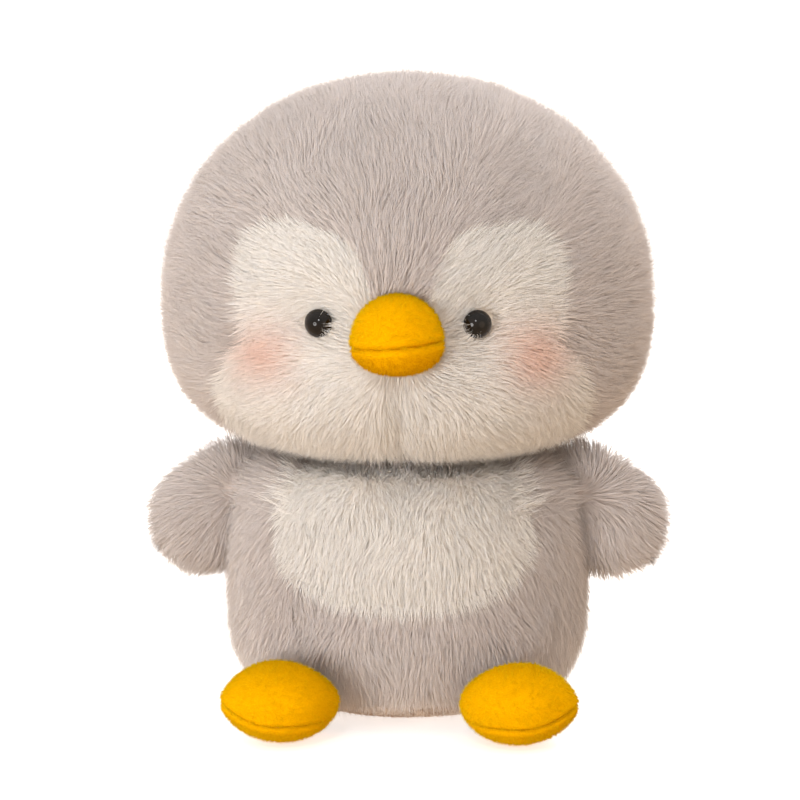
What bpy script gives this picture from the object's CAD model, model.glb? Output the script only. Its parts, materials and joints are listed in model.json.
"""Looks of the stuffed penguin: long pile on sewn skins, velour beak and feet, glossy eyes."""
import json
import math
from collections import namedtuple

import bmesh
import bpy
import numpy as np
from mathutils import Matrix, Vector, kdtree


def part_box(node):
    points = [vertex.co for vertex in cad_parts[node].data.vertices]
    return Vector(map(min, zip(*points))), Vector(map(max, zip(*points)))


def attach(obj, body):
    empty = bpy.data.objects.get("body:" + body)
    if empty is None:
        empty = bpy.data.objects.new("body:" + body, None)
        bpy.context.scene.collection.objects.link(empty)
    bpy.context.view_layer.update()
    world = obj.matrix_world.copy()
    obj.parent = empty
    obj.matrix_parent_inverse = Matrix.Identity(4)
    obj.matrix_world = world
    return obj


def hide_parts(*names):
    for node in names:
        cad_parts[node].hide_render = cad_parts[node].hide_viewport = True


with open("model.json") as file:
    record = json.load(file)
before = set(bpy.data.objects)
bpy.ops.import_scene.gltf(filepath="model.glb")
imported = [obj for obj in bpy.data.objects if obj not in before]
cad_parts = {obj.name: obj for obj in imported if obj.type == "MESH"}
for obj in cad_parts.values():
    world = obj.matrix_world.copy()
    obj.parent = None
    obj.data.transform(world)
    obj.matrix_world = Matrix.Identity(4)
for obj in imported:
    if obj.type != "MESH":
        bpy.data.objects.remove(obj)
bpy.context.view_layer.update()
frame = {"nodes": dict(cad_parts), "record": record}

MM = 0.001
SIDES = {"left": -1.0, "right": 1.0}
rng = np.random.default_rng(11)


# ---- camera, light and floor ----
CAMERA_AZIMUTH = math.radians(3.0)
CAMERA_ELEVATION = math.radians(7.0)
CAMERA_DISTANCE = 1.2
CAMERA_LENS = 140.0       # mm, on a 36 mm sensor
LOOK_AT = Vector((-0.0028, 0.0, 0.1212))


def add_camera():
    camera = bpy.data.objects.new("camera", bpy.data.cameras.new("camera"))
    bpy.context.scene.collection.objects.link(camera)
    out = Vector((
        math.sin(CAMERA_AZIMUTH) * math.cos(CAMERA_ELEVATION),
        -math.cos(CAMERA_AZIMUTH) * math.cos(CAMERA_ELEVATION),
        math.sin(CAMERA_ELEVATION),
    ))
    camera.location = LOOK_AT + out * CAMERA_DISTANCE
    camera.rotation_euler = out.to_track_quat("Z", "Y").to_euler()
    camera.data.lens = CAMERA_LENS
    camera.data.clip_end = 20.0
    bpy.context.scene.camera = camera


def add_area_light(name, place, size, power, colour):
    light = bpy.data.lights.new(name, "AREA")
    light.shape = "DISK"
    light.size = size
    light.energy = power
    light.color = colour
    lamp = bpy.data.objects.new(name, light)
    lamp.location = place
    lamp.rotation_euler = (Vector(place) - LOOK_AT).to_track_quat("Z", "Y").to_euler()
    bpy.context.scene.collection.objects.link(lamp)


WORLD_BELOW = (0.86, 0.64, 0.44)
WORLD_ABOVE = (1.0, 0.95, 0.91)
WORLD_STRENGTH = 1.15


def add_world():
    """Soft light from all round, bright above and warmer below."""
    world = bpy.data.worlds.new("studio")
    world.use_nodes = True
    tree = world.node_tree
    place = tree.nodes.new("ShaderNodeTexCoord")
    axes = tree.nodes.new("ShaderNodeSeparateXYZ")
    tree.links.new(place.outputs["Generated"], axes.inputs["Vector"])
    height = tree.nodes.new("ShaderNodeMapRange")
    height.inputs["From Min"].default_value = -0.6
    height.inputs["From Max"].default_value = 0.7
    tree.links.new(axes.outputs["Z"], height.inputs["Value"])
    colour = ramp(tree, height.outputs["Result"], [(0.0, WORLD_BELOW), (1.0, WORLD_ABOVE)])
    back = tree.nodes["Background"]
    tree.links.new(colour, back.inputs["Color"])
    back.inputs["Strength"].default_value = WORLD_STRENGTH
    bpy.context.scene.world = world
    bpy.context.scene.view_settings.view_transform = "Standard"


def add_stage(name, mesh, material):
    """A piece of the set, which the camera sees and which lights nothing."""
    piece = bpy.data.objects.new(name, mesh)
    bpy.context.scene.collection.objects.link(piece)
    mesh.materials.append(material)
    piece.visible_diffuse = False
    piece.visible_glossy = False
    piece.visible_transmission = False
    piece.visible_shadow = False
    return piece


# name, place, diameter, power and colour of each lamp; all of them face the toy
LAMPS = (
    ("key", (-0.85, -1.35, 0.06), 0.7, 16.0, (1.0, 0.98, 0.96)),
    ("catch", (-0.1, -1.3, 0.80), 0.22, 4.0, (1.0, 1.0, 1.0)),
    ("fill", (1.0, -1.1, 0.1), 1.2, 2.8, (1.0, 0.75, 0.54)),
    ("top", (0.5, 0.5, 1.2), 0.9, 8.0, (1.0, 0.97, 0.95)),
    ("back", (-0.4, 1.5, 0.5), 1.4, 10.0, (1.0, 0.96, 0.92)),
)
SET_RADIUS = 6.0
FLOOR_DROP = 0.3 * MM     # below the toy's lowest point


def add_studio():
    add_world()
    for lamp in LAMPS:
        add_area_light(*lamp)
    floor = bpy.data.meshes.new("floor")
    corners = [(x * SET_RADIUS, y * SET_RADIUS, 0) for x, y in ((-1, -1), (1, -1), (1, 1), (-1, 1))]
    floor.from_pydata(corners, [], [(0, 1, 2, 3)])
    add_stage("floor", floor, board_material("floor_white", 0.62)).location.z = -FLOOR_DROP
    dome = bpy.data.meshes.new("backdrop")
    ball = bmesh.new()
    bmesh.ops.create_icosphere(ball, subdivisions=3, radius=SET_RADIUS)
    ball.to_mesh(dome)
    ball.free()
    add_stage("backdrop", dome, board_material("backdrop_white", 1.0))


# ---- materials ----
def new_material(name):
    material = bpy.data.materials.new(name)
    material.use_nodes = True
    return material, material.node_tree, material.node_tree.nodes["Principled BSDF"]


MOTTLE = (0.94, 1.06)     # lowest and highest brightness of a material from place to place


def ramp(tree, factor, stops):
    node = tree.nodes.new("ShaderNodeValToRGB")
    elements = node.color_ramp.elements
    while len(elements) < len(stops):
        elements.new(0.5)
    for element, (place, colour) in zip(elements, stops):
        element.position = place
        element.color = (*colour, 1)
    tree.links.new(factor, node.inputs["Fac"])
    return node.outputs["Color"]


def attribute(tree, name):
    node = tree.nodes.new("ShaderNodeAttribute")
    node.attribute_name = name
    return node.outputs["Fac"]


def tint(tree, factor, base, colour):
    """Multiplies base by the colour, as far as the factor says."""
    node = tree.nodes.new("ShaderNodeMix")
    node.data_type = "RGBA"
    node.blend_type = "MULTIPLY"
    tree.links.new(factor, node.inputs["Factor"])
    tree.links.new(base, node.inputs["A"])
    node.inputs["B"].default_value = (*colour, 1)
    return node.outputs["Result"]


def map_range(tree, value, low, high):
    node = tree.nodes.new("ShaderNodeMapRange")
    node.inputs["To Min"].default_value = low
    node.inputs["To Max"].default_value = high
    tree.links.new(value, node.inputs["Value"])
    return node.outputs["Result"]


def object_noise(tree, scale, detail=2.0):
    place = tree.nodes.new("ShaderNodeTexCoord")
    noise = tree.nodes.new("ShaderNodeTexNoise")
    noise.inputs["Scale"].default_value = scale
    noise.inputs["Detail"].default_value = detail
    tree.links.new(place.outputs["Object"], noise.inputs["Vector"])
    return noise.outputs["Fac"]


def brightness(tree, colour, value):
    node = tree.nodes.new("ShaderNodeHueSaturation")
    tree.links.new(colour, node.inputs["Color"])
    tree.links.new(value, node.inputs["Value"])
    return node.outputs["Color"]


def bump(tree, shader, height, strength, distance):
    node = tree.nodes.new("ShaderNodeBump")
    node.inputs["Strength"].default_value = strength
    node.inputs["Distance"].default_value = distance
    tree.links.new(height, node.inputs["Height"])
    tree.links.new(node.outputs["Normal"], shader.inputs["Normal"])


def board_material(name, glow):
    """Matt white board with a faint mottle."""
    material, tree, shader = new_material(name)
    colour = ramp(tree, object_noise(tree, 3.0), [(0.3, (0.80, 0.79, 0.78)), (0.7, (0.82, 0.81, 0.80))])
    tree.links.new(colour, shader.inputs["Base Color"])
    shader.inputs["Roughness"].default_value = 0.8
    shader.inputs["Emission Color"].default_value = (1, 1, 1, 1)
    shader.inputs["Emission Strength"].default_value = glow
    return material


# light that passes through the hairs: its share, the reach of red, green and blue, and their unit
GLOW_SHARE = 0.5
GLOW_COLOUR = (1.0, 0.85, 0.7)
GLOW_REACH = 0.3 * MM


def hair_material(name, root, middle, tip, blush, gloss=0.15, contrast=0.09):
    """Hair whose colour runs from root to tip, differs a little from hair to hair and blushes in places."""
    material, tree, shader = new_material(name)
    colour = ramp(tree, attribute(tree, "along"), [(0.0, root), (0.45, middle), (1.0, tip)])
    colour = brightness(tree, colour, map_range(tree, attribute(tree, "tone"), 1 - contrast, 1 + contrast))
    colour = brightness(tree, colour, map_range(tree, object_noise(tree, 45.0), *MOTTLE))
    colour = tint(tree, attribute(tree, "blush"), colour, blush)
    tree.links.new(colour, shader.inputs["Base Color"])
    shader.inputs["Roughness"].default_value = 0.75
    shader.inputs["Subsurface Weight"].default_value = GLOW_SHARE
    shader.inputs["Subsurface Radius"].default_value = GLOW_COLOUR
    shader.inputs["Subsurface Scale"].default_value = GLOW_REACH
    shader.inputs["Specular IOR Level"].default_value = gloss
    shader.inputs["Sheen Weight"].default_value = gloss
    shader.inputs["Sheen Roughness"].default_value = 0.5
    shader.inputs["Sheen Tint"].default_value = (*tip, 1)
    return material


def cloth_material(name, low, high, scale=900.0, strength=0.25, gloss=0.1):
    """Knitted backing, velour or lining: fine grain in colour and height."""
    material, tree, shader = new_material(name)
    grain = object_noise(tree, scale, 3.0)
    colour = ramp(tree, grain, [(0.3, low), (0.7, high)])
    colour = brightness(tree, colour, map_range(tree, object_noise(tree, 60.0), *MOTTLE))
    tree.links.new(colour, shader.inputs["Base Color"])
    shader.inputs["Roughness"].default_value = 0.85
    shader.inputs["Specular IOR Level"].default_value = gloss
    shader.inputs["Sheen Weight"].default_value = gloss
    shader.inputs["Sheen Roughness"].default_value = 0.4
    shader.inputs["Sheen Tint"].default_value = (*high, 1)
    bump(tree, shader, grain, strength, 0.4 * MM)
    return material


def plastic_material(name, low, high, roughness, gloss=0.5):
    material, tree, shader = new_material(name)
    colour = ramp(tree, object_noise(tree, 400.0), [(0.35, low), (0.65, high)])
    tree.links.new(colour, shader.inputs["Base Color"])
    shader.inputs["Roughness"].default_value = roughness
    shader.inputs["Specular IOR Level"].default_value = gloss
    return material


def pellet_material():
    """Small round beads that lie close together."""
    material, tree, shader = new_material("pellets")
    place = tree.nodes.new("ShaderNodeTexCoord")
    cells = tree.nodes.new("ShaderNodeTexVoronoi")
    cells.inputs["Scale"].default_value = 330.0
    tree.links.new(place.outputs["Object"], cells.inputs["Vector"])
    colour = ramp(tree, cells.outputs["Distance"], [(0.0, (0.85, 0.85, 0.83)), (0.8, (0.45, 0.45, 0.43))])
    tree.links.new(colour, shader.inputs["Base Color"])
    shader.inputs["Roughness"].default_value = 0.45
    bump(tree, shader, map_range(tree, cells.outputs["Distance"], 1.0, 0.0), 1.0, 1.5 * MM)
    return material


# root, middle and tip of the hairs
GREY = ((0.50, 0.425, 0.385), (0.56, 0.485, 0.455), (0.62, 0.55, 0.525))
WHITE = ((0.78, 0.705, 0.62), (0.83, 0.77, 0.70), (0.88, 0.84, 0.79))
YELLOW = ((0.60, 0.27, 0.0), (0.705, 0.36, 0.001), (0.80, 0.47, 0.003))
# what multiplies a hair's colour where its blush is 1
BLUSH = (1.0, 0.57, 0.48)
HEM_SHADE = (0.50, 0.40, 0.32)
CHIN_SHADE = (0.84, 0.66, 0.7)      # below the beak's seam
# lowest and highest colour of the grain
LINING = ((0.30, 0.23, 0.19), (0.42, 0.34, 0.30))
FIBRE = ((0.75, 0.74, 0.71), (0.93, 0.92, 0.90))
WASHER = ((0.70, 0.70, 0.68), (0.82, 0.82, 0.80))
EYE_BLACK = ((0.003, 0.0025, 0.002), (0.008, 0.006, 0.005))

materials = {
    "grey_fur": hair_material("grey_pile", *GREY, HEM_SHADE),
    "white_fur": hair_material("white_pile", *WHITE, BLUSH),
    "yellow_fuzz": hair_material("yellow_fuzz", *YELLOW, CHIN_SHADE, gloss=0.0, contrast=0.12),
    "yellow_velour": cloth_material("yellow_velour", YELLOW[0], YELLOW[1], 2500.0, 0.5, 0.0),
    "grey_cloth": cloth_material("grey_backing", GREY[0], GREY[1]),
    "white_cloth": cloth_material("white_backing", WHITE[0], WHITE[1]),
    "lining_cloth": cloth_material("lining", *LINING),
    "fibre_filling": cloth_material("fibre", *FIBRE, 300.0, 0.6),
    "black_eye": plastic_material("black_eye", *EYE_BLACK, 0.05, 0.25),
    "white_plastic": plastic_material("washer", *WASHER, 0.5),
    "pellet_plastic": pellet_material(),
}
BACKING = {"grey_fur": "grey_cloth", "white_fur": "white_cloth"}


# ---- meshes ----
Shell = namedtuple("Shell", "points normals faces")


def unit(vectors):
    return vectors / np.maximum(np.linalg.norm(vectors, axis=-1, keepdims=True), 1e-12)


def mesh_object(name, points, faces, material):
    mesh = bpy.data.meshes.new(name)
    mesh.vertices.add(len(points))
    mesh.vertices.foreach_set("co", np.asarray(points, np.float32).ravel())
    mesh.loops.add(3 * len(faces))
    mesh.loops.foreach_set("vertex_index", np.asarray(faces, np.int32).ravel())
    mesh.polygons.add(len(faces))
    mesh.polygons.foreach_set("loop_start", np.arange(0, 3 * len(faces), 3, dtype=np.int32))
    mesh.update(calc_edges=True)
    mesh.polygons.foreach_set("use_smooth", np.ones(len(faces), bool))
    mesh.materials.append(materials[material])
    piece = bpy.data.objects.new(name, mesh)
    bpy.context.scene.collection.objects.link(piece)
    return piece


def cloth_piece(name, shell, chosen, material):
    """Cloth over the chosen faces of a shell."""
    faces = shell.faces[chosen]
    used, renumbered = np.unique(faces, return_inverse=True)
    piece = mesh_object(name, shell.points[used], renumbered.reshape(-1, 3), material)
    piece.modifiers.new("cloth", "SOLIDIFY").thickness = 0.8 * MM
    return piece


def with_normals(points, faces):
    a, b, c = (points[faces[:, k]] for k in range(3))
    across = np.cross(b - a, c - a)
    normals = np.zeros_like(points)
    for k in range(3):
        np.add.at(normals, faces[:, k], across)
    return Shell(points, unit(normals), faces)


def pushed(shell, outward):
    """The shell with each point moved along its normal."""
    return with_normals(shell.points + shell.normals * outward[:, None], shell.faces)


def clipped(shell, lowest, highest=1.0):
    """The shell pressed flat above and below those heights."""
    points = shell.points.copy()
    points[:, 2] = np.clip(points[:, 2], lowest, highest)
    return with_normals(points, shell.faces)


def sphere_directions(subdivisions):
    ball = bmesh.new()
    bmesh.ops.create_icosphere(ball, subdivisions=subdivisions, radius=1.0)
    points = np.array([v.co for v in ball.verts])
    faces = np.array([[v.index for v in f.verts] for f in ball.faces])
    ball.free()
    return unit(points), faces


# half_width and half_depth at the widest level, which is centre; rise above it and drop below it,
# each with the power of its outline: 2 is an ellipse, and more is squarer
Bag = namedtuple("Bag", "centre half_width half_depth rise drop rise_power drop_power")


def bag_shell(bag, inset=0.0, subdivisions=6):
    directions, faces = sphere_directions(subdivisions)
    sideways = directions[:, 0] / (bag.half_width - inset)
    across = np.hypot(sideways, directions[:, 1] / (bag.half_depth - inset))
    upward = directions[:, 2] > 0
    height = np.abs(directions[:, 2]) / np.where(upward, bag.rise - inset, bag.drop - inset)
    power = np.where(upward, bag.rise_power, bag.drop_power)
    reach = (across**power + height**power) ** (-1.0 / power)
    return with_normals(np.array(bag.centre) + directions * reach[:, None], faces)


def hill(points, centre, radii):
    """1 at the centre, falling smoothly to 0 over the radii."""
    return np.exp(-(((points - np.array(centre)) / np.array(radii)) ** 2).sum(1))


def ridge(level, width):
    """1 along the line where level is 0, falling smoothly to 0 over the width."""
    return np.exp(-((level / width) ** 2))


def scatter(shell, per_area):
    """Random points and their normals on a shell, the same number for each unit of area."""
    a, b, c = (shell.points[shell.faces[:, k]] for k in range(3))
    areas = np.linalg.norm(np.cross(b - a, c - a), axis=1) / 2
    face = rng.choice(len(areas), int(areas.sum() * per_area), p=areas / areas.sum())
    u, v = rng.random(len(face)), rng.random(len(face))
    flip = u + v > 1
    u[flip], v[flip] = 1 - u[flip], 1 - v[flip]
    weights = np.stack([1 - u - v, u, v], 1)[:, :, None]
    corners = shell.faces[face]
    return (shell.points[corners] * weights).sum(1), unit((shell.normals[corners] * weights).sum(1))


def declare(piece, body, nodes=()):
    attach(piece, body)
    if nodes:
        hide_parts(*nodes)
    return piece


# ---- hair ----
# length and width in metres; the leans from upright, in degrees, near the root and near the tip;
# spread is the random turn of each hair, in radians, and clump how far tips are drawn together
Fur = namedtuple("Fur", "length lean_root lean_tip spread clump width")
LONG = Fur(13.0 * MM, 40.0, 68.0, 0.16, 0.07, 0.21 * MM)
FACE = Fur(11.0 * MM, 38.0, 66.0, 0.16, 0.04, 0.20 * MM)
UNDER = Fur(6.0 * MM, 70.0, 84.0, 0.5, 0.2, 0.30 * MM)
WING = Fur(12.5 * MM, 56.0, 80.0, 0.13, 0.08, 0.21 * MM)
UPRIGHT = Fur(15.0 * MM, 18.0, 30.0, 0.3, 0.05, 0.24 * MM)
HAIRS_IN_LOCK = 9
BEND_AT = 0.45            # share of a hair's length at which it bends
SWIRL_LENGTHS = (18 * MM, 30 * MM, 55 * MM)
SWIRL_TURN = 0.13
CORNERS = 3               # of a hair's section
SHADE_LIKE_SKIN = 0.82    # how far a hair takes the light like the surface it grows on
GUARD_SHARE = 0.45        # of the hairs are long and bent; the rest are straight and shorter
UNDER_SHARE = 0.8         # of a long hair's length
MOST_TRIANGLES = 195000   # in one piece
LOWEST_HAIR = 0.6 * MM
ROOT_DEPTH = 0.5 * MM     # of a hair in its cloth


SWIRLS = [(unit(rng.normal(size=3)) * 2 * math.pi / length, rng.uniform(0, 2 * math.pi))
          for length in SWIRL_LENGTHS for _ in range(3)]


def swirl(points):
    """Smooth turn of the grooming from place to place, in radians."""
    return SWIRL_TURN * sum(np.sin(points @ wave + phase) for wave, phase in SWIRLS)


def along_surface(flow, normals):
    return unit(flow - (flow * normals).sum(1, keepdims=True) * normals)


def comb(points, normals, flow, fur, length_share):
    """Middle and tip of each hair, groomed along the flow."""
    count = len(points)
    flow = along_surface(flow, normals)
    turn = (swirl(points) + rng.normal(0, fur.spread, count))[:, None]
    flow = flow * np.cos(turn) + np.cross(normals, flow) * np.sin(turn)
    length = (fur.length * length_share * rng.uniform(0.72, 1.08, count))[:, None]

    def heading(lean, jitter):
        angle = np.radians(lean + rng.normal(0, jitter, count))[:, None]
        return normals * np.cos(angle) + flow * np.sin(angle)

    middle = points + heading(fur.lean_root, 7.0) * length * BEND_AT
    return middle, middle + heading(fur.lean_tip, 8.0) * length * (1 - BEND_AT)


def gather(points, middle, tip, fur):
    """Draws the tips of neighbouring hairs together into small locks."""
    count = len(points)
    leaders = rng.permutation(count)[:max(1, count // HAIRS_IN_LOCK)]
    tree = kdtree.KDTree(len(leaders))
    for number, leader in enumerate(leaders):
        tree.insert(points[leader], number)
    tree.balance()
    nearest = leaders[np.fromiter((tree.find(p)[1] for p in points), int, count)]
    pull = (fur.clump * rng.uniform(0.3, 1.4, count))[:, None]
    return middle + (middle[nearest] - middle) * pull * BEND_AT, tip + (tip[nearest] - tip) * pull


def ring_faces(rings):
    """Triangles of one closed hair: its root, the strips between its rings, and its tip."""
    faces = [(0, 2, 1)]
    for ring in range(rings):
        first, above = ring * CORNERS, (ring + 1) * CORNERS
        for k in range(CORNERS):
            after = (k + 1) % CORNERS
            if ring == rings - 1:
                faces.append((first + k, first + after, above))
            else:
                faces += [(first + k, first + after, above + after), (first + k, above + after, above + k)]
    return np.array(faces)


def bake_layout(mesh, faces, count, share):
    """Gives each hair its own small cell of the texture that an export bakes."""
    columns = max(1, math.ceil(math.sqrt(count * 3)))
    rows = max(1, math.ceil(count / columns))
    column, row = np.arange(count) % columns, np.arange(count) // columns
    around = np.array([0.25, 0.5, 0.75] * (len(share) // CORNERS) + [0.5])
    u = (column[:, None] + around[None]) / columns
    v = (row[:, None] + 0.1 + 0.8 * share[None]) / rows
    uv = np.stack([u, v], 2).reshape(-1, 2)[faces.ravel()]
    mesh.uv_layers.new(name="OFBake").data.foreach_set("uv", uv.astype(np.float32).ravel())


def hair_object(name, material, stations, normals, width, tone, blush):
    """One closed, tapering, three-cornered spike for each hair, through the stations of its line."""
    *centres, tip = stations
    count, rings = len(tip), len(centres)
    along = unit(stations[1] - stations[0])
    side = unit(np.cross(along, unit(rng.normal(size=(count, 3)))))
    across = np.cross(along, side)
    corners, outward = [], []
    for number, centre in enumerate(centres):
        radius = (width * (1 - 0.15 * number) / 2)[:, None]
        for k in range(CORNERS):
            angle = 2 * math.pi * k / CORNERS
            out = side * math.cos(angle) + across * math.sin(angle)
            corners.append(centre + out * radius)
            outward.append(out)
    corners = np.stack([*corners, tip], 1)
    outward = np.stack([*outward, normals], 1)
    per_hair = corners.shape[1]
    faces = (ring_faces(rings)[None] + per_hair * np.arange(count)[:, None, None]).reshape(-1, 3)
    piece = mesh_object(name, corners.reshape(-1, 3), faces, material)
    share = np.array([s for s in (0.0, BEND_AT)[:rings] for _ in range(CORNERS)] + [1.0])
    for key, value in (("along", np.tile(share, count)), ("tone", np.repeat(tone, per_hair)),
                       ("blush", np.repeat(blush, per_hair))):
        spread = piece.data.attributes.new(key, "FLOAT", "POINT")
        spread.data.foreach_set("value", value.astype(np.float32))
    bake_layout(piece.data, faces, count, share)
    shading = unit(outward * (1 - SHADE_LIKE_SKIN) + normals[:, None] * SHADE_LIKE_SKIN)
    piece.data.normals_split_custom_set_from_vertices(shading.reshape(-1, 3))
    return piece


def hair_pieces(name, body, material, stations, normals, width, blush):
    """Hair in as many pieces as its number of triangles needs."""
    count = len(normals)
    tone = rng.random(count)
    parts = math.ceil(count * len(ring_faces(len(stations) - 1)) / MOST_TRIANGLES)
    for number in range(parts):
        own = slice(number, None, parts)
        full = name + (f"_{number + 1}" if parts > 1 else "")
        piece = hair_object(full, material, [station[own] for station in stations], normals[own],
                            width[own], tone[own], blush[own])
        declare(piece, body)


def grow(name, body, slot, points, normals, flow, fur, length_share=1.0, blush=None):
    count = len(points)
    guard = rng.random(count) < GUARD_SHARE
    share = np.broadcast_to(length_share, count) * np.where(guard, 1.0, UNDER_SHARE)
    middle, tip = comb(points, normals, flow, fur, share)
    middle, tip = gather(points, middle, tip, fur)
    middle[:, 2] = np.maximum(middle[:, 2], LOWEST_HAIR)
    tip[:, 2] = np.maximum(tip[:, 2], LOWEST_HAIR)
    blush = np.zeros(count) if blush is None else blush
    width = fur.width * rng.uniform(0.7, 1.2, count)
    root = points - normals * ROOT_DEPTH
    for full, own, line in ((name, guard, (root, middle, tip)), (f"{name}_under", ~guard, (root, tip))):
        stations = [station[own] for station in line]
        hair_pieces(full, body, slot, stations, normals[own], width[own], blush[own])


# ---- the panels of the skins ----
FUR_DEPTH = 7.4 * MM      # from the tips of the long pile down to its backing
REACH = 9.0 * MM          # how far a panel's hairs lie over the next panel


def extent(*nodes):
    """Lowest and highest corner of some CAD nodes together."""
    boxes = [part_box(node) for node in nodes]
    return np.min([low for low, _ in boxes], 0), np.max([high for _, high in boxes], 0)


def both(name):
    return [f"{name}_left", f"{name}_right"]


def middle_of(node):
    low, high = extent(node)
    return (low + high) / 2


# outline of a panel, or of a pair of panels, as seen from the front; x and z are the middle of its widest
# level, and the powers are those of a bag
Outline = namedtuple("Outline", "x z half_width rise drop rise_power drop_power")


def outline(nodes, widest_z, *shape):
    low, high = extent(*nodes)
    return Outline((low[0] + high[0]) / 2, widest_z, (high[0] - low[0]) / 2, *shape)


PATCH_HIGH = extent("eye_patch_right")[1]
MUZZLE_HIGH = extent("muzzle_right")[1]
BELLY_LOW = extent("belly_patch")[0]
PATCH = outline(["eye_patch_right"], PATCH_HIGH[2] - 31 * MM, 31 * MM, 33 * MM, 2.9, 2.4)
PATCH = PATCH._replace(x=PATCH.x - 1.5 * MM)
MUZZLE = outline(both("muzzle"), MUZZLE_HIGH[2] - 34 * MM, 34 * MM, 34 * MM, 2.2, 2.2)
BELLY = outline(["belly_patch"], BELLY_LOW[2] + 29 * MM, 40 * MM, 33 * MM, 2.3, 2.7)
SIDE_SEAM_Y = extent("head_back_left")[0][1]
BASE = extent("base_panel")[1]


def within(x, points, shape):
    across = np.abs(x - shape.x) / shape.half_width
    above = points[:, 2] - shape.z
    upward = np.abs(above) / np.where(above > 0, shape.rise, shape.drop)
    power = np.where(above > 0, shape.rise_power, shape.drop_power)
    return (across**power + upward**power < 1) & (points[:, 1] < 0)


def head_panel(points):
    side = np.where(points[:, 0] < 0, "left", "right")
    panel = np.where(points[:, 1] < SIDE_SEAM_Y, "head_front_", "head_back_")
    panel = np.where(within(points[:, 0], points, MUZZLE), "muzzle_", panel)
    panel = np.where(within(np.abs(points[:, 0]), points, PATCH), "eye_patch_", panel)
    return np.char.add(panel, side)


def torso_panel(points):
    side = np.where(points[:, 0] < 0, "left", "right")
    panel = np.char.add(np.where(points[:, 1] < SIDE_SEAM_Y, "body_front_", "body_back_"), side)
    panel = np.where(within(points[:, 0], points, BELLY), "belly_patch", panel)
    under = (points[:, 0] / BASE[0]) ** 2 + (points[:, 1] / BASE[1]) ** 2 < 1
    return np.where(under & (points[:, 2] < BASE[2]), "base_panel", panel)


def slot_of(panel):
    return "white_fur" if panel.startswith(("eye_patch", "muzzle", "belly")) else "grey_fur"


def cover(body, shell, per_area, panel_of, flow_of, fur_of, keep, blush_of, share_of):
    """Backing cloth and fur of one body, panel by panel."""
    at = shell.points[shell.faces].mean(1)
    upward = unit(shell.normals[shell.faces].mean(1))
    panels = panel_of(at + along_surface(flow_of(at), upward) * REACH)
    for panel in np.unique(panels).tolist():
        slot = slot_of(panel)
        declare(cloth_piece(f"skin_{panel}", shell, panels == panel, BACKING[slot]), body, [panel])
    points, normals = scatter(shell, per_area)
    kept = keep(points)
    points, normals = points[kept], normals[kept]
    flow = flow_of(points)
    panels = panel_of(points + along_surface(flow, normals) * REACH)
    for panel in np.unique(panels).tolist():
        own = panels == panel
        grow(f"pile_{panel}", body, slot_of(panel), points[own], normals[own], flow[own], fur_of(panel),
             share_of(points[own]), blush_of(points[own]))


def everywhere(points):
    return np.ones(len(points), bool)


def nowhere(points):
    return np.zeros(len(points))


def full_length(points):
    return np.ones(len(points))


# ---- head ----
HEAD_LOW, HEAD_HIGH = extent(*both("head_front"), *both("head_back"))
BEAK_LOW, BEAK_HIGH = extent("beak_upper", "beak_lower")
BEAK_SEAM_Z = (extent("beak_upper")[0][2] + extent("beak_lower")[1][2]) / 2
BEAK_MIDDLE_Z = (BEAK_LOW[2] + BEAK_HIGH[2]) / 2
EYES = {side: middle_of(f"eye_{side}") for side in SIDES}
HEAD_WIDEST_Z = HEAD_LOW[2] + 56 * MM
HEAD_RISE = HEAD_HIGH[2] - HEAD_WIDEST_Z - 1.5 * MM
HEAD = Bag((0.0, 0.0, HEAD_WIDEST_Z), HEAD_HIGH[0], HEAD_HIGH[1], HEAD_RISE, 64 * MM, 2.12, 2.7)
PARTING = np.array([0.0, BEAK_HIGH[1] - 13 * MM, BEAK_MIDDLE_Z - 2 * MM])
HEAD_HAIRS = 5.0e6        # for each square metre
BODY_HAIRS = 4.4e6


# how far the head stands out, where, and over what radii; these stand out, and the next sink in
CHEEK = (5.0 * MM, (30 * MM, -62 * MM, 127 * MM), (26 * MM, 30 * MM, 17 * MM))
BROW = (1.5 * MM, (40 * MM, -55 * MM, 174 * MM), (20 * MM, 30 * MM, 22 * MM))
EYE_HOLLOW = (2.6 * MM, (9 * MM, 30 * MM, 9 * MM))
CHIN_CREASE = (3.0 * MM, (0, -68 * MM, 126 * MM), (4 * MM, 30 * MM, 18 * MM))
BEAK_HOLLOW = (2.5 * MM, (0, -68 * MM, BEAK_MIDDLE_Z), (18 * MM, 30 * MM, 15 * MM))


def head_shell(inset, subdivisions=6):
    """The head with its cheeks, the crease below its beak, and the hollows of its eyes and beak."""
    shell = bag_shell(HEAD, inset, subdivisions)
    points = shell.points
    away = np.zeros(len(points))
    for name, side in SIDES.items():
        for height, centre, radii in (CHEEK, BROW):
            away += height * hill(points, (side * centre[0], *centre[1:]), radii)
        away -= EYE_HOLLOW[0] * hill(points, EYES[name], EYE_HOLLOW[1])
    for depth, centre, radii in (CHIN_CREASE, BEAK_HOLLOW):
        away -= depth * hill(points, centre, radii)
    return clipped(pushed(shell, away), HEAD_LOW[2] + inset * 0.3)


def head_flow(points):
    """Fur lies outward from the beak, and downward at the back and along the jaw."""
    flow = unit(points - PARTING)
    behind = np.clip(points[:, 1] / (50 * MM), 0, 1)[:, None]
    jaw = np.clip((HEAD_LOW[2] + 24 * MM - points[:, 2]) / (20 * MM), 0, 1)[:, None]
    return flow * (1 - behind) + np.array([0, 0.25, -1.0]) * behind + np.array([0, 0, -0.9]) * jaw


def eye_distance(points):
    """How far each point is from the nearer eye, seen from the front."""
    away = [np.hypot(points[:, 0] - eye[0], points[:, 2] - eye[2]) for eye in EYES.values()]
    return np.where(points[:, 1] < 0, np.minimum(*away), 1.0)


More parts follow.
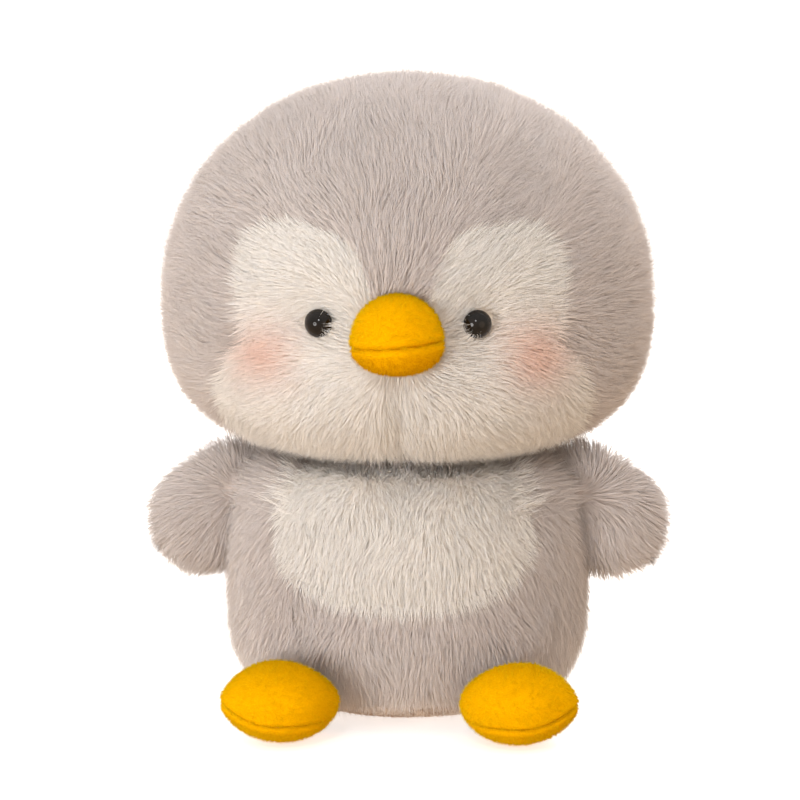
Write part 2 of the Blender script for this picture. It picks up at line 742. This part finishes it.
# radius without hair where the neck is sewn in, under the beak and under each eye
NECK_CLEAR = 30 * MM
BEAK_CLEAR = 12.5 * MM
EYE_CLEAR = 4.6 * MM


def head_hair_grows(points):
    from_axis = np.hypot(points[:, 0], points[:, 1])
    inside_neck = (points[:, 2] < HEAD_LOW[2] + 4 * MM) & (from_axis < NECK_CLEAR)
    from_beak = np.hypot(points[:, 0], points[:, 2] - BEAK_MIDDLE_Z)
    under_beak = (from_beak < BEAK_CLEAR) & (points[:, 1] < 0)
    return ~inside_neck & ~under_beak & (eye_distance(points) > EYE_CLEAR)


BLUSH_X, BLUSH_Z, BLUSH_RADIUS = 46 * MM, 146 * MM, 11.5 * MM
BLUSH_STRENGTH = 0.8


def head_blush(points):
    spot = (np.abs(points[:, 0]) - BLUSH_X) ** 2 + (points[:, 2] - BLUSH_Z) ** 2
    return BLUSH_STRENGTH * np.exp(-spot / BLUSH_RADIUS**2) * (points[:, 1] < 0)


def head_hair_length(points):
    return 1 - 0.45 * ridge(eye_distance(points), 9 * MM)


def build_head():
    cover("head", head_shell(FUR_DEPTH), HEAD_HAIRS, head_panel, head_flow,
          lambda panel: FACE if slot_of(panel) == "white_fur" else LONG,
          head_hair_grows, head_blush, head_hair_length)


EYE_TURN = math.radians(14.2)    # of each eye's face, outward
STRAYS = 45               # hairs over the edge of one eye
STRAY_WIDTH = 0.1 * MM


def grow_strays(name):
    """Hairs of the patch that lie over the edge of an eye, on the side of the beak."""
    side = SIDES[name]
    out = np.array([side * math.sin(EYE_TURN), -math.cos(EYE_TURN), 0.0])
    across = np.array([-side * math.cos(EYE_TURN), -math.sin(EYE_TURN), 0.0])
    up = np.array([0.0, 0.0, 1.0])
    apex = np.array([EYES[name][0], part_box(f"eye_{name}")[0][1], EYES[name][2]])
    angle = np.radians(rng.normal(-38, 34, STRAYS))[:, None]
    spoke = across * np.cos(angle) + up * np.sin(angle)
    root = apex - out * 5.5 * MM + spoke * 7.5 * MM
    middle = apex - out * 1.0 * MM + spoke * 4.9 * MM
    lift = rng.uniform(0.2, 0.9, (STRAYS, 1)) * MM
    tip = apex + out * lift + spoke * rng.uniform(2.2, 4.6, (STRAYS, 1)) * MM
    tip = tip + rng.normal(0, 0.5 * MM, (STRAYS, 3)) * (1 - np.abs(out))
    hair_pieces(f"strays_eye_{name}", "head", "white_fur", (root, middle, tip),
                np.broadcast_to(out, (STRAYS, 3)), np.full(STRAYS, STRAY_WIDTH), np.zeros(STRAYS))


# ---- torso and wings ----
BODY_LOW, BODY_HIGH = extent(*both("body_front"), *both("body_back"))
TORSO = Bag((0.0, 0.0, 46 * MM), BODY_HIGH[0] + 1 * MM, BODY_HIGH[1], 64 * MM, 54 * MM, 3.9, 2.6)
SHOULDER_LOW = 78 * MM     # from here up to the top more and more of the fur stands up, against the jaw
SHOULDER_TOP = 96 * MM
SHOULDER_IN = 38 * MM      # from the toy's middle


def torso_shell(inset, subdivisions=6):
    return clipped(bag_shell(TORSO, inset, subdivisions), 1.5 * MM, BODY_HIGH[2] + 1.5 * MM)


def torso_flow(points):
    return points * np.array([6.0, 6.0, 0.0]) + np.array([0, 0, -1.0])


BASE_SHARE = 0.35         # of the base's hairs are grown
HEM_TOP = 18 * MM
HEM_FADE = 8 * MM
HEM_STRENGTH = 0.9


def torso_hair_grows(points):
    """Sparse on the base, which the toy sits on."""
    return (torso_panel(points) != "base_panel") | (rng.random(len(points)) < BASE_SHARE)


def hem_shade(points):
    """Dark clumps where the fur is pressed in at the front of the base."""
    low = np.clip((HEM_TOP - points[:, 2]) / HEM_FADE, 0, 1) * (points[:, 1] < 0)
    return HEM_STRENGTH * low * (0.5 + 0.5 * np.tanh(10 * swirl(points)))


# where fur hangs over a foot: middle and radii, with x turned round for the left one
ANKLE = ((40 * MM, -42 * MM, 28 * MM), (18 * MM, 20 * MM, 12 * MM))


def torso_hair_length(points):
    """Longer where the fur hangs over the feet, and shorter towards the base."""
    middle, radii = ANKLE
    ankles = [hill(points, (side * middle[0], *middle[1:]), radii) for side in SIDES.values()]
    return (1 + 0.6 * sum(ankles)) * np.clip(0.35 + points[:, 2] / (20 * MM), 0.35, 1)


def grow_shoulders(shell):
    """Upright fur that closes the gap between the shoulders, the wings and the jaw."""
    points, normals = scatter(shell, BODY_HAIRS * 0.5)
    likely = (points[:, 2] - SHOULDER_LOW) / (SHOULDER_TOP - SHOULDER_LOW)
    shoulder = (rng.random(len(points)) < likely) & (np.abs(points[:, 0]) > SHOULDER_IN)
    points, normals = points[shoulder], normals[shoulder]
    panels = torso_panel(points)
    for panel in np.unique(panels).tolist():
        own = panels == panel
        outward = points[own] * np.array([1.0, 1.0, 0.0]) + np.array([0, 0, 0.02])
        grow(f"shoulder_{panel}", "torso", slot_of(panel), points[own], normals[own], outward, UPRIGHT)


def build_torso():
    furs = {"base_panel": UNDER, "belly_patch": FACE}
    shell = torso_shell(FUR_DEPTH)
    cover("torso", shell, BODY_HAIRS, torso_panel, torso_flow,
          lambda panel: furs.get(panel, LONG), torso_hair_grows, hem_shade, torso_hair_length)
    grow_shoulders(shell)


# for the right wing; x is turned round for the left one
WING_X, WING_Z = 78.5 * MM, 75 * MM
WING_RADII = np.array([23.0, 15.0, 23.0]) * MM
WING_REACH = 14.5 * MM     # further out towards the shoulder
WING_PARTING = (65 * MM, -12 * MM, 88 * MM)    # where its fur lies outward from
WING_FUR_DEPTH = 5.0 * MM


def wing_shell(name, inset, subdivisions=5):
    """A rounded stub that reaches up towards the shoulder."""
    directions, faces = sphere_directions(subdivisions)
    seam = middle_of(f"wing_{name}_root")[1]
    centre = np.array([SIDES[name] * WING_X, seam, WING_Z])
    shoulder = unit(np.array([-SIDES[name] * 19.0, 0.0, 22.0]))
    reach = WING_REACH * np.clip(directions @ shoulder, 0, 1) ** 1.5
    points = directions * (WING_RADII - inset) + shoulder * reach[:, None]
    return with_normals(points + centre, faces)


def build_wing(name):
    parting = np.array([SIDES[name] * WING_PARTING[0], *WING_PARTING[1:]])
    seam = middle_of(f"wing_{name}_root")[1]
    cover(f"wing_{name}", wing_shell(name, WING_FUR_DEPTH), BODY_HAIRS,
          lambda points: np.where(points[:, 1] < seam, f"wing_{name}_front", f"wing_{name}_back"),
          lambda points: points - parting, lambda panel: WING, everywhere, nowhere, full_length)


# ---- velour beak and feet ----
NAP_LENGTH = 1.3 * MM
NAP_WIDTH = 0.22 * MM
NAP_HAIRS = 2.6e6


def nap(name, body, shell, flow, shade_of=nowhere):
    """Short hairs that catch the light on velour."""
    points, normals = scatter(shell, NAP_HAIRS)
    count = len(points)
    flow = along_surface(np.array(flow) + rng.normal(0, 0.5, (count, 3)), normals)
    lean = np.radians(rng.uniform(10, 60, count))[:, None]
    length = NAP_LENGTH * rng.uniform(0.6, 1.2, (count, 1))
    tip = points + (normals * np.cos(lean) + flow * np.sin(lean)) * length
    tip[:, 2] = np.maximum(tip[:, 2], 0.1 * MM)
    stations = (points - normals * 0.15 * MM, tip)
    hair_pieces(name, body, "yellow_fuzz", stations, normals, np.full(count, NAP_WIDTH),
                shade_of(points))


def sewn_halves(shell, level, upper, lower, body):
    """Upper and lower half of a velour cover, parted where level is 0."""
    above = level[shell.faces].mean(1) > 0
    for node, chosen in ((upper, above), (lower, ~above)):
        declare(cloth_piece(f"cover_{node}", shell, chosen, "yellow_velour"), body, [node])


def creased(shell, level, where, depth, width):
    """Sinks a seam in along level 0 and rounds the lips beside it."""
    lips = ridge(np.abs(level) - 2.6 * width, 1.8 * width) * 0.3
    return pushed(shell, depth * where * (lips - ridge(level, width)))


def chin_shade(points):
    return np.clip((BEAK_SEAM_Z + 1 * MM - points[:, 2]) / (5 * MM), 0, 1)


BEAK_HALF_DEPTH = 21 * MM
MOUTH_SLANT = 0.085       # rise of the beak's seam from left to right


def build_beak():
    bag = Bag((0.0, BEAK_LOW[1] + BEAK_HALF_DEPTH, BEAK_SEAM_Z), BEAK_HIGH[0], BEAK_HALF_DEPTH,
              BEAK_HIGH[2] - BEAK_SEAM_Z, BEAK_SEAM_Z - BEAK_LOW[2], 2.1, 2.2)
    shell = bag_shell(bag, 0.6 * MM)
    level = shell.points[:, 2] - BEAK_SEAM_Z - MOUTH_SLANT * shell.points[:, 0]
    front = np.clip((BEAK_HIGH[1] - 6 * MM - shell.points[:, 1]) / (10 * MM), 0, 1)
    shell = creased(shell, level, front, 1.1 * MM, 0.9 * MM)
    sewn_halves(shell, level, "beak_upper", "beak_lower", "head")
    nap("nap_beak", "head", shell, (0, 0, -1), chin_shade)


FOOT_SPLAY = math.radians(22.0)
FOOT_RADII = (20.3 * MM, 22.5 * MM, 14.8 * MM)
FOOT_MIDDLE_Z = 15.8 * MM
FOOT_MOVED = (-0.7 * MM, 3.0 * MM)   # outward and back, from the middle of the CAD foot
TOE_TURN = math.radians(62.0)   # outward of straight ahead, where the rim comes to a point
TOE_POINT = 0.11          # of the foot's radius there
RIM_DROP = 6.5            # mm, of the seam round the rim, from the toe to the heel
HEEL_LOWER = 0.55
HEEL_SHORTER = 0.15


def turned(points, angle):
    across = points[:, 0] * math.cos(angle) - points[:, 1] * math.sin(angle)
    ahead = points[:, 0] * math.sin(angle) + points[:, 1] * math.cos(angle)
    return np.stack([across, ahead, points[:, 2]], 1)


def build_foot(name):
    """A cushion whose rim seam rises to a blunt point at the outer toe."""
    side = SIDES[name]
    low, high = extent(f"foot_{name}_upper", f"foot_{name}_sole")
    middle = (low + high) / 2
    centre = np.array([middle[0] + side * FOOT_MOVED[0], middle[1] + FOOT_MOVED[1], FOOT_MIDDLE_Z])
    directions, faces = sphere_directions(6)
    toe = np.array([side * math.sin(TOE_TURN), -math.cos(TOE_TURN)])
    toward = np.clip(unit(directions[:, :2]) @ toe, 0, 1)
    points = directions * np.array(FOOT_RADII)
    heel = np.clip(directions[:, 1], 0, 1) * (directions[:, 2] > 0)
    points[:, 2] *= 1 - HEEL_LOWER * heel
    points[:, 1] *= 1 - HEEL_SHORTER * heel
    points[:, :2] *= 1 + TOE_POINT * (toward**7 * (1 - np.abs(directions[:, 2]) ** 1.2))[:, None]
    level = points[:, 2] - (RIM_DROP * toward**3 - RIM_DROP) * MM
    shell = with_normals(turned(points, side * FOOT_SPLAY) + centre, faces)
    shell = creased(shell, level, np.clip(0.35 - directions[:, 1], 0, 1), 1.0 * MM, 0.8 * MM)
    shell = clipped(shell, 0.2 * MM)
    sewn_halves(shell, level, f"foot_{name}_upper", f"foot_{name}_sole", f"foot_{name}")
    nap(f"nap_foot_{name}", f"foot_{name}", shell, (0, -0.3, -1))


# ---- neck, wing roots and everything inside ----
def lumpy(shell, depth, size):
    """Pushes a shell in by a random, smooth amount, up to depth."""
    total = np.zeros(len(shell.points))
    for _ in range(12):
        wave = unit(rng.normal(size=3)) * 2 * math.pi / (size * rng.uniform(0.6, 1.6))
        total += np.sin(shell.points @ wave + rng.uniform(0, 2 * math.pi))
    return pushed(shell, depth * (np.clip(total / 8, -1, 1) - 1) / 2)


def pleated(shell, pleats, depth):
    """Gathers a shell round an upright axis, like cloth drawn in by a thread."""
    middle = (shell.points.min(0) + shell.points.max(0)) / 2
    angle = np.arctan2(shell.points[:, 1] - middle[1], shell.points[:, 0] - middle[0])
    return pushed(shell, -depth * (0.5 + 0.5 * np.sin(angle * pleats)))


def box_shell(node, inset=0.0, power=2.0, subdivisions=4):
    """A rounded form that fills a CAD node's box."""
    low, high = extent(node)
    half = (high - low) / 2 - inset
    bag = Bag((low + high) / 2, half[0], half[1], half[2], half[2], power, power)
    return bag_shell(bag, 0.0, subdivisions)


def add_filling(name, body, node, shell):
    shell = lumpy(shell, 1.5 * MM, 14 * MM)
    piece = mesh_object(name, shell.points, shell.faces, "fibre_filling")
    declare(piece, body, [node])


def build_fillings():
    add_filling("fibre_head", "head", "head_stuffing", head_shell(FUR_DEPTH + 1.6 * MM, 5))
    add_filling("fibre_body", "torso", "body_stuffing", torso_shell(FUR_DEPTH + 1.6 * MM, 5))
    add_filling("fibre_neck", "neck", "neck_stuffing", box_shell("neck_stuffing", 0.5 * MM))
    add_filling("fibre_beak", "head", "beak_stuffing", box_shell("beak_stuffing", 1.5 * MM))
    for name in SIDES:
        wing, foot = f"wing_{name}", f"foot_{name}"
        add_filling(f"fibre_{wing}", wing, f"{wing}_filling", wing_shell(name, WING_FUR_DEPTH + 1.8 * MM, 4))
        add_filling(f"fibre_{foot}", foot, f"{foot}_filling", box_shell(f"{foot}_filling", 3.5 * MM))


def add_lining(name, body, node, shell):
    declare(mesh_object(name, shell.points, shell.faces, "lining_cloth"), body, [node])


def build_linings():
    """The neck's gusset with its fur, the joints inside the shoulders and the bag of pellets."""
    gusset = pleated(box_shell("neck_gusset", power=3.0, subdivisions=5), 26, 0.8 * MM)
    add_lining("gusset_neck", "neck", "neck_gusset", gusset)
    points, normals = scatter(gusset, BODY_HAIRS * 0.3)
    upright = np.abs(normals[:, 2]) < 0.75
    points, normals = points[upright], normals[upright]
    flow = points * np.array([1.0, 1.0, 0.0]) + np.array([0, 0, -0.02])
    grow("pile_neck", "neck", "grey_fur", points, normals, flow, UPRIGHT)
    for name in SIDES:
        root = f"wing_{name}_root"
        add_lining(f"gusset_wing_{name}", root, root, pleated(box_shell(root), 14, 0.6 * MM))
    bag = lumpy(box_shell("pellet_bag", subdivisions=5), 0.8 * MM, 9 * MM)
    add_lining("bag_of_pellets", "torso", "pellet_bag", bag)


def dress_cad_nodes():
    """The nodes whose own shape is right get their finished materials."""
    slots = {part["node"]: part["material_slot"] for part in frame["record"]["subparts"]}
    for name, node in frame["nodes"].items():
        for place in node.material_slots:
            place.material = materials[BACKING.get(slots[name], slots[name])]


add_camera()
add_studio()
dress_cad_nodes()
build_head()
for eye in SIDES:
    grow_strays(eye)
build_torso()
for wing in SIDES:
    build_wing(wing)
build_beak()
for foot in SIDES:
    build_foot(foot)
build_fillings()
build_linings()
